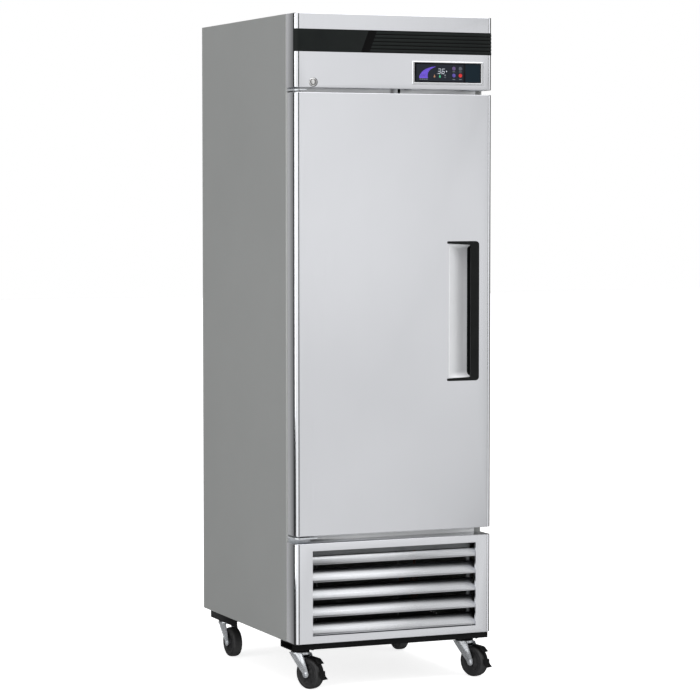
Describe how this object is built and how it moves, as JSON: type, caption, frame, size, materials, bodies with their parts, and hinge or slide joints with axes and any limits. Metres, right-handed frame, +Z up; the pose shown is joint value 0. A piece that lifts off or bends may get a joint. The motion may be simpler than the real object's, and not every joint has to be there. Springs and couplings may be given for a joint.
{
  "type": "reach in refrigerator",
  "caption": "Upright one-section commercial refrigerator with a solid left-hinged door, recessed handle, control panel, louvred grille and swivel casters.",
  "frame": {"origin": "middle of the footprint, on the floor", "axes": "+X to the right seen from the front, +Y towards the back, +Z up; the door faces -Y"},
  "size_m": [0.6901, 0.8806, 2.142],
  "materials": {
    "painted_side": "satin",
    "stainless_front": "brushed",
    "stainless_inside": "brushed",
    "back_sheet": "galvanised",
    "foam": "matte",
    "black_frame": "satin",
    "trim_black": "satin",
    "bezel_silver": "satin",
    "window_black": "gloss",
    "key_red": "gloss",
    "key_blue": "gloss",
    "key_grey": "gloss",
    "key_purple": "gloss",
    "lock_chrome": "polished",
    "zinc": "zinc plated",
    "spring_steel": "satin",
    "gasket_grey": "matte",
    "handle_black": "satin",
    "recess_grey": "satin",
    "filter_grey": "matte",
    "shelf_white": "epoxy coated",
    "white_plastic": "satin",
    "lamp": "satin",
    "aluminium_fins": "satin",
    "compressor_black": "satin",
    "copper": "satin",
    "grey_plastic": "satin",
    "tyre_black": "matte"
  },
  "bodies": {
    "cabinet": {"side_panel_left": "painted_side", "side_panel_right": "painted_side", "top_panel": "back_sheet", "back_panel": "back_sheet", "cabinet_foam": "foam", "cabinet_liner": "stainless_inside", "front_frame": "stainless_inside", "base_rails": "black_frame", "header_panel": "stainless_front", "header_band": "trim_black", "control_bezel": "bezel_silver", "control_window": "window_black", "lock_body": "lock_chrome", "hinge_top": "zinc", "hinge_bottom": "zinc", "grille_frame": "stainless_front", "grille_slats": "stainless_front", "dust_filter": "filter_grey", "shelf_pilasters": "stainless_inside", "shelf_clips": "zinc", "evaporator_cover": "white_plastic", "evaporator_coil": "aluminium_fins", "cabinet_lamp": "lamp", "compressor": "compressor_black", "condenser_coil": "aluminium_fins", "condenser_motor": "spring_steel", "drain_pan": "grey_plastic", "refrigerant_lines": "copper", "rear_grille": "back_sheet", "power_gland": "handle_black", "caster_plates": "black_frame"},
    "door": {"door_skin": "stainless_front", "door_foam": "foam", "door_liner": "stainless_inside", "door_gasket": "gasket_grey", "handle_recess": "recess_grey", "handle_grip": "handle_black", "door_closer": "spring_steel"},
    "lock": {"lock_plug": "lock_chrome", "lock_cam": "zinc"},
    "key_power": {"key_power": "key_red"},
    "key_light": {"key_light": "key_blue"},
    "key_up": {"key_up": "key_grey"},
    "key_down": {"key_down": "key_purple"},
    "shelf_1": {"shelf_1": "shelf_white"},
    "shelf_2": {"shelf_2": "shelf_white"},
    "shelf_3": {"shelf_3": "shelf_white"},
    "evaporator_fan": {"evaporator_fan": "grey_plastic"},
    "door_switch": {"door_switch": "handle_black"},
    "condenser_fan": {"condenser_fan": "grey_plastic"},
    "fork_front_left": {"fork_front_left": "zinc"},
    "fork_front_right": {"fork_front_right": "zinc"},
    "fork_rear_left": {"fork_rear_left": "zinc"},
    "fork_rear_right": {"fork_rear_right": "zinc"},
    "wheel_front_left": {"wheel_front_left": "tyre_black"},
    "wheel_front_right": {"wheel_front_right": "tyre_black"},
    "wheel_rear_left": {"wheel_rear_left": "tyre_black"},
    "wheel_rear_right": {"wheel_rear_right": "tyre_black"},
    "brake_left": {"brake_left": "handle_black"},
    "brake_right": {"brake_right": "handle_black"}
  },
  "joints": [
    {"name": "door_hinge", "type": "hinge", "parent": "cabinet", "child": "door", "pos_m": [-0.323, -0.391, 0.496], "axis": [0, 0, -1], "range_deg": [0, 115], "stiffness_Nm_per_rad": 0.5, "springref_deg": -17.19},
    {"name": "lock_turn", "type": "hinge", "parent": "cabinet", "child": "lock", "pos_m": [-0.282, -0.415, 1.927], "axis": [0, 1, 0], "range_deg": [0, 90]},
    {"name": "key_power_press", "type": "slide", "parent": "cabinet", "child": "key_power", "axis": [0, 1, 0], "range_m": [0, 0.0008], "stiffness_N_per_m": 400, "springref_m": -0.0005},
    {"name": "key_light_press", "type": "slide", "parent": "cabinet", "child": "key_light", "axis": [0, 1, 0], "range_m": [0, 0.0008], "stiffness_N_per_m": 400, "springref_m": -0.0005},
    {"name": "key_up_press", "type": "slide", "parent": "cabinet", "child": "key_up", "axis": [0, 1, 0], "range_m": [0, 0.0008], "stiffness_N_per_m": 400, "springref_m": -0.0005},
    {"name": "key_down_press", "type": "slide", "parent": "cabinet", "child": "key_down", "axis": [0, 1, 0], "range_m": [0, 0.0008], "stiffness_N_per_m": 400, "springref_m": -0.0005},
    {"name": "door_switch_travel", "type": "slide", "parent": "cabinet", "child": "door_switch", "axis": [0, 0, -1], "range_m": [0, 0.005]},
    {"name": "shelf_1_lift", "type": "slide", "parent": "cabinet", "child": "shelf_1", "axis": [0, 0, 1], "range_m": [0, 0.035]},
    {"name": "shelf_2_lift", "type": "slide", "parent": "cabinet", "child": "shelf_2", "axis": [0, 0, 1], "range_m": [0, 0.035]},
    {"name": "shelf_3_lift", "type": "slide", "parent": "cabinet", "child": "shelf_3", "axis": [0, 0, 1], "range_m": [0, 0.035]},
    {"name": "evaporator_fan_spin", "type": "hinge", "parent": "cabinet", "child": "evaporator_fan", "pos_m": [0, -0.188, 1.99], "axis": [0, -1, 0], "continuous": true},
    {"name": "condenser_fan_spin", "type": "hinge", "parent": "cabinet", "child": "condenser_fan", "pos_m": [-0.095, -0.23, 0.302], "axis": [0, -1, 0], "continuous": true},
    {"name": "swivel_front_left", "type": "hinge", "parent": "cabinet", "child": "fork_front_left", "pos_m": [-0.29, -0.323, 0.11], "axis": [0, 0, 1], "continuous": true},
    {"name": "roll_front_left", "type": "hinge", "parent": "fork_front_left", "child": "wheel_front_left", "pos_m": [-0.27242, -0.36442, 0.05], "axis": [0.9205, 0.3907, 0], "continuous": true},
    {"name": "brake_left_release", "type": "hinge", "parent": "fork_front_left", "child": "brake_left", "pos_m": [-0.28219, -0.34141, 0.1015], "axis": [-0.9205, -0.3907, 0], "range_deg": [0, 8]},
    {"name": "swivel_front_right", "type": "hinge", "parent": "cabinet", "child": "fork_front_right", "pos_m": [0.29, -0.323, 0.11], "axis": [0, 0, 1], "continuous": true},
    {"name": "roll_front_right", "type": "hinge", "parent": "fork_front_right", "child": "wheel_front_right", "pos_m": [0.30758, -0.36442, 0.05], "axis": [0.9205, 0.3907, 0], "continuous": true},
    {"name": "brake_right_release", "type": "hinge", "parent": "fork_front_right", "child": "brake_right", "pos_m": [0.29781, -0.34141, 0.1015], "axis": [-0.9205, -0.3907, 0], "range_deg": [0, 8]},
    {"name": "swivel_rear_left", "type": "hinge", "parent": "cabinet", "child": "fork_rear_left", "pos_m": [-0.29, 0.345, 0.11], "axis": [0, 0, 1], "continuous": true},
    {"name": "roll_rear_left", "type": "hinge", "parent": "fork_rear_left", "child": "wheel_rear_left", "pos_m": [-0.28764, 0.30006, 0.05], "axis": [0.9986, 0.0523, 0], "continuous": true},
    {"name": "swivel_rear_right", "type": "hinge", "parent": "cabinet", "child": "fork_rear_right", "pos_m": [0.29, 0.251, 0.11], "axis": [0, 0, 1], "continuous": true},
    {"name": "roll_rear_right", "type": "hinge", "parent": "fork_rear_right", "child": "wheel_rear_right", "pos_m": [0.29235, 0.20606, 0.05], "axis": [0.9986, 0.0523, 0], "continuous": true}
  ],
  "couplings": [
    {"joint": "door_switch_travel", "follows": "door_hinge", "m_per_rad": 0.0024911}
  ]
}
